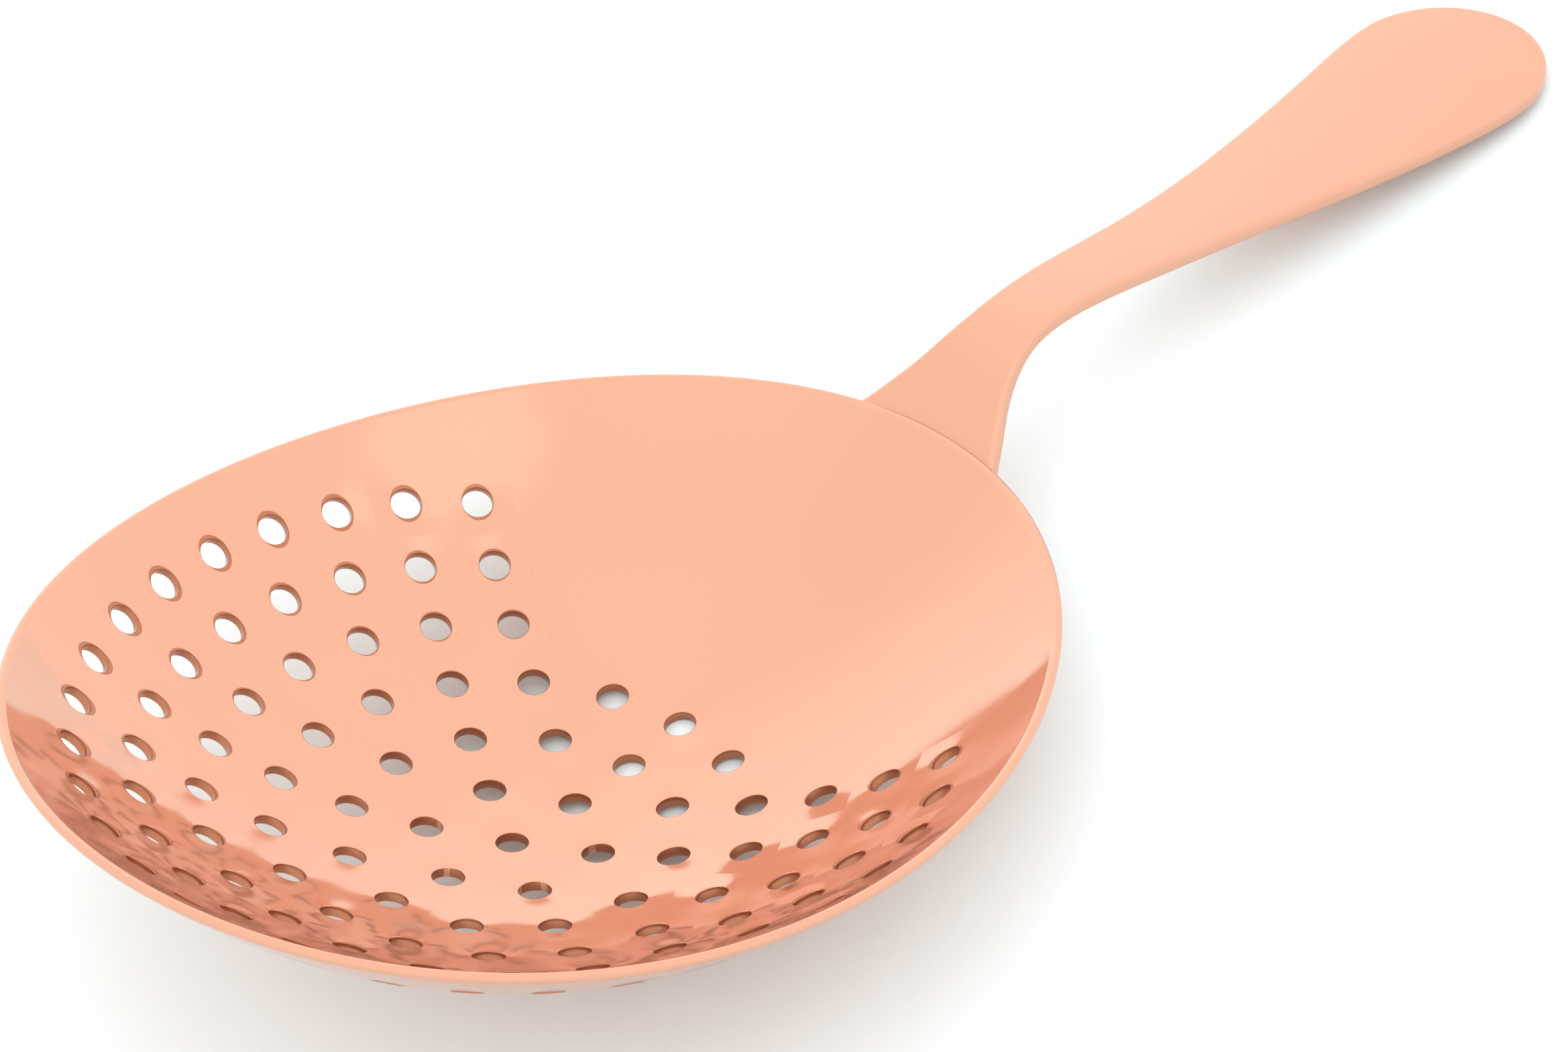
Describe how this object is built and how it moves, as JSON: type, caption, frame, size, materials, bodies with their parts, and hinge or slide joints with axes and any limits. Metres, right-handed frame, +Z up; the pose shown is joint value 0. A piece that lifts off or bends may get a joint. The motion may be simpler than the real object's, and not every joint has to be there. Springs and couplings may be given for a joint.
{
  "type": "julep strainer",
  "caption": "Shallow oval perforated bowl with a rounded rim and a flat, bent, spoon-like handle brazed under the rim.",
  "frame": {"origin": "on the table, under the middle of the strainer's bounding box, as it lies bowl down on the bowl and the handle's end", "axes": "+Z up from the table, +X from the bowl towards the handle's end, the strainer mirrored left to right across the XZ plane"},
  "size_m": [0.163, 0.079, 0.0293],
  "materials": {
    "copper_bowl": "mirror polished, copper plated",
    "copper_handle": "mirror polished, copper plated",
    "braze_filler": "dull brazing filler"
  },
  "bodies": {
    "root": {"bowl": "copper_bowl", "handle": "copper_handle", "braze": "braze_filler"}
  },
  "joints": []
}
